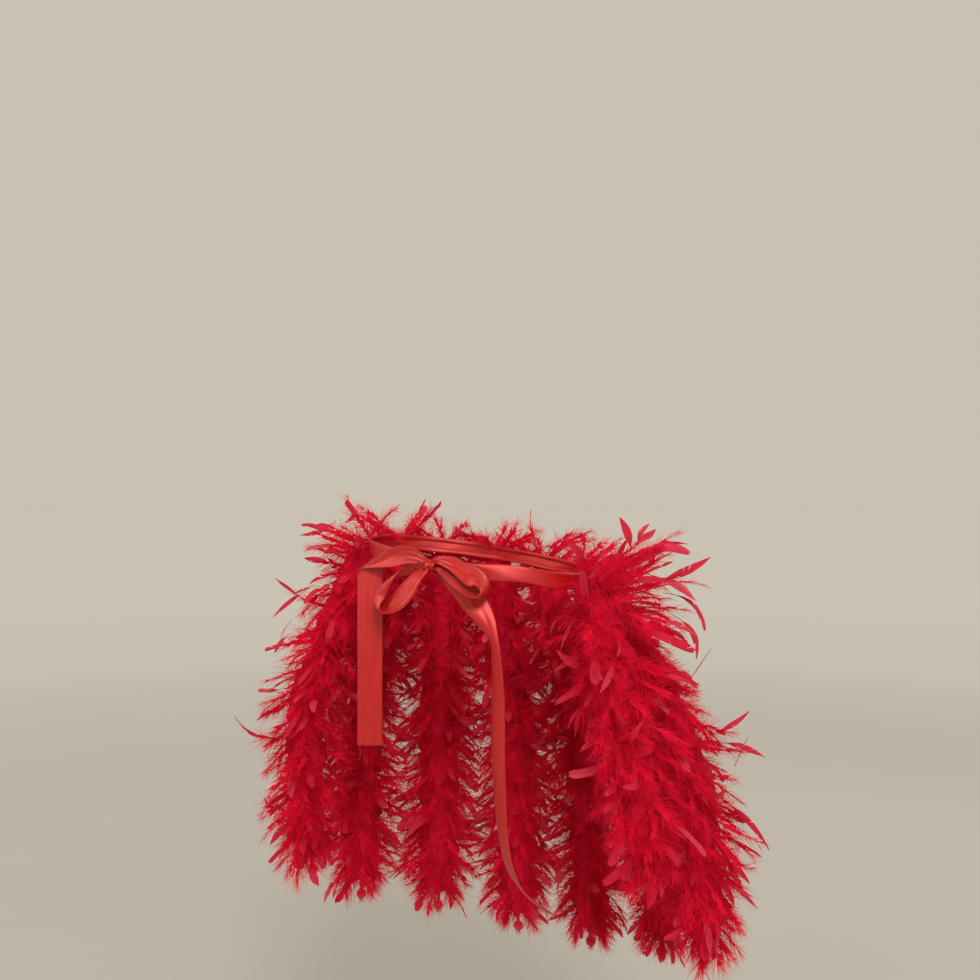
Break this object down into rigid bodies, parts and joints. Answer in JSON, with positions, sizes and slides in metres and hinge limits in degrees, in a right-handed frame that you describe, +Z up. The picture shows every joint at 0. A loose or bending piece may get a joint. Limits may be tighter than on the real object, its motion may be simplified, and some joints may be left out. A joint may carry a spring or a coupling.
{
  "type": "feather boa hip skirt",
  "caption": "Strands of red feather boa hanging from a satin ribbon that ties round the waist in a bow, open at the front.",
  "frame": {"origin": "centre of the waist loop, at mid height of the ribbon", "axes": "+Z up along the wearer, -Y towards the front where the bow is, +X towards the wearer's left hip"},
  "size_m": [0.5235, 0.3657, 0.5195],
  "materials": {
    "satin": "single-face satin ribbon, orange red, glossy",
    "feathers": "dyed crimson turkey feathers, downy, matt",
    "cord": "dyed twisted cotton cord",
    "thread": "polyester sewing thread"
  },
  "bodies": {
    "root": {"waist_ribbon": "satin", "bow_knot": "satin", "bow_loop_left": "satin", "bow_loop_right": "satin", "left_tail_lead": "satin", "left_tail_top": "satin", "right_tail_lead": "satin", "strand_stitches": "thread"},
    "left_tail": {"left_tail": "satin", "loose_thread": "satin"},
    "right_tail": {"right_tail": "satin"},
    "strand_1_upper": {"strand_1_upper_cord": "cord", "strand_1_upper_feathers": "feathers"},
    "strand_1_lower": {"strand_1_lower_cord": "cord", "strand_1_lower_feathers": "feathers", "strand_1_end_knot": "cord"},
    "strand_2_upper": {"strand_2_upper_cord": "cord", "strand_2_upper_feathers": "feathers"},
    "strand_2_lower": {"strand_2_lower_cord": "cord", "strand_2_lower_feathers": "feathers", "strand_2_end_knot": "cord"},
    "strand_3_upper": {"strand_3_upper_cord": "cord", "strand_3_upper_feathers": "feathers"},
    "strand_3_lower": {"strand_3_lower_cord": "cord", "strand_3_lower_feathers": "feathers", "strand_3_end_knot": "cord"},
    "strand_4_upper": {"strand_4_upper_cord": "cord", "strand_4_upper_feathers": "feathers"},
    "strand_4_lower": {"strand_4_lower_cord": "cord", "strand_4_lower_feathers": "feathers", "strand_4_end_knot": "cord"},
    "strand_5_upper": {"strand_5_upper_cord": "cord", "strand_5_upper_feathers": "feathers"},
    "strand_5_lower": {"strand_5_lower_cord": "cord", "strand_5_lower_feathers": "feathers", "strand_5_end_knot": "cord"},
    "strand_6_upper": {"strand_6_upper_cord": "cord", "strand_6_upper_feathers": "feathers"},
    "strand_6_lower": {"strand_6_lower_cord": "cord", "strand_6_lower_feathers": "feathers", "strand_6_end_knot": "cord"},
    "strand_7_upper": {"strand_7_upper_cord": "cord", "strand_7_upper_feathers": "feathers"},
    "strand_7_lower": {"strand_7_lower_cord": "cord", "strand_7_lower_feathers": "feathers", "strand_7_end_knot": "cord"},
    "strand_8_upper": {"strand_8_upper_cord": "cord", "strand_8_upper_feathers": "feathers"},
    "strand_8_lower": {"strand_8_lower_cord": "cord", "strand_8_lower_feathers": "feathers", "strand_8_end_knot": "cord"}
  },
  "joints": [
    {"name": "left_tail_swing", "type": "hinge", "parent": "root", "child": "left_tail", "pos_m": [-0.082, -0.081, -0.06], "axis": [-0.9272, -0.3746, 0], "range_deg": [0, 60]},
    {"name": "right_tail_swing", "type": "hinge", "parent": "root", "child": "right_tail", "pos_m": [0.053, -0.097, -0.0405], "axis": [-1, 0, 0], "range_deg": [0, 60]},
    {"name": "strand_1_swing", "type": "hinge", "parent": "root", "child": "strand_1_upper", "pos_m": [0.12531, -0.00664, -0.01761], "axis": [-0.0872, -0.9962, 0], "range_deg": [0, 40]},
    {"name": "strand_1_bend", "type": "hinge", "parent": "strand_1_upper", "child": "strand_1_lower", "pos_m": [0.17114, -0.01065, -0.15556], "axis": [-0.0872, -0.9962, 0], "range_deg": [0, 60]},
    {"name": "strand_2_swing", "type": "hinge", "parent": "root", "child": "strand_2_upper", "pos_m": [0.11607, 0.03733, -0.01631], "axis": [0.4695, -0.8829, 0], "range_deg": [0, 40]},
    {"name": "strand_2_bend", "type": "hinge", "parent": "strand_2_upper", "child": "strand_2_lower", "pos_m": [0.19907, 0.08146, -0.20624], "axis": [0.4695, -0.8829, 0], "range_deg": [0, 60]},
    {"name": "strand_3_swing", "type": "hinge", "parent": "root", "child": "strand_3_upper", "pos_m": [0.08238, 0.07371, -0.01158], "axis": [0.829, -0.5592, 0], "range_deg": [0, 40]},
    {"name": "strand_3_bend", "type": "hinge", "parent": "strand_3_upper", "child": "strand_3_lower", "pos_m": [0.13494, 0.15164, -0.22202], "axis": [0.829, -0.5592, 0], "range_deg": [0, 60]},
    {"name": "strand_4_swing", "type": "hinge", "parent": "root", "child": "strand_4_upper", "pos_m": [0.02919, 0.09493, -0.0041], "axis": [0.9833, -0.1822, 0], "range_deg": [0, 40]},
    {"name": "strand_4_bend", "type": "hinge", "parent": "strand_4_upper", "child": "strand_4_lower", "pos_m": [0.04487, 0.17949, -0.22773], "axis": [0.9833, -0.1822, 0], "range_deg": [0, 60]},
    {"name": "strand_5_swing", "type": "hinge", "parent": "root", "child": "strand_5_upper", "pos_m": [-0.02919, 0.09493, 0.0041], "axis": [0.9833, 0.1822, 0], "range_deg": [0, 40]},
    {"name": "strand_5_bend", "type": "hinge", "parent": "strand_5_upper", "child": "strand_5_lower", "pos_m": [-0.04487, 0.17949, -0.22347], "axis": [0.9833, 0.1822, 0], "range_deg": [0, 60]},
    {"name": "strand_6_swing", "type": "hinge", "parent": "root", "child": "strand_6_upper", "pos_m": [-0.08238, 0.07371, 0.01158], "axis": [0.829, 0.5592, 0], "range_deg": [0, 40]},
    {"name": "strand_6_bend", "type": "hinge", "parent": "strand_6_upper", "child": "strand_6_lower", "pos_m": [-0.1327, 0.14833, -0.20998], "axis": [0.829, 0.5592, 0], "range_deg": [0, 60]},
    {"name": "strand_7_swing", "type": "hinge", "parent": "root", "child": "strand_7_upper", "pos_m": [-0.11607, 0.03733, 0.01631], "axis": [0.4695, 0.8829, 0], "range_deg": [0, 40]},
    {"name": "strand_7_bend", "type": "hinge", "parent": "strand_7_upper", "child": "strand_7_lower", "pos_m": [-0.19642, 0.08005, -0.19312], "axis": [0.4695, 0.8829, 0], "range_deg": [0, 60]},
    {"name": "strand_8_swing", "type": "hinge", "parent": "root", "child": "strand_8_upper", "pos_m": [-0.12531, -0.00664, 0.01761], "axis": [-0.0872, 0.9962, 0], "range_deg": [0, 40]},
    {"name": "strand_8_bend", "type": "hinge", "parent": "strand_8_upper", "child": "strand_8_lower", "pos_m": [-0.20899, -0.01396, -0.16268], "axis": [-0.0872, 0.9962, 0], "range_deg": [0, 60]}
  ]
}
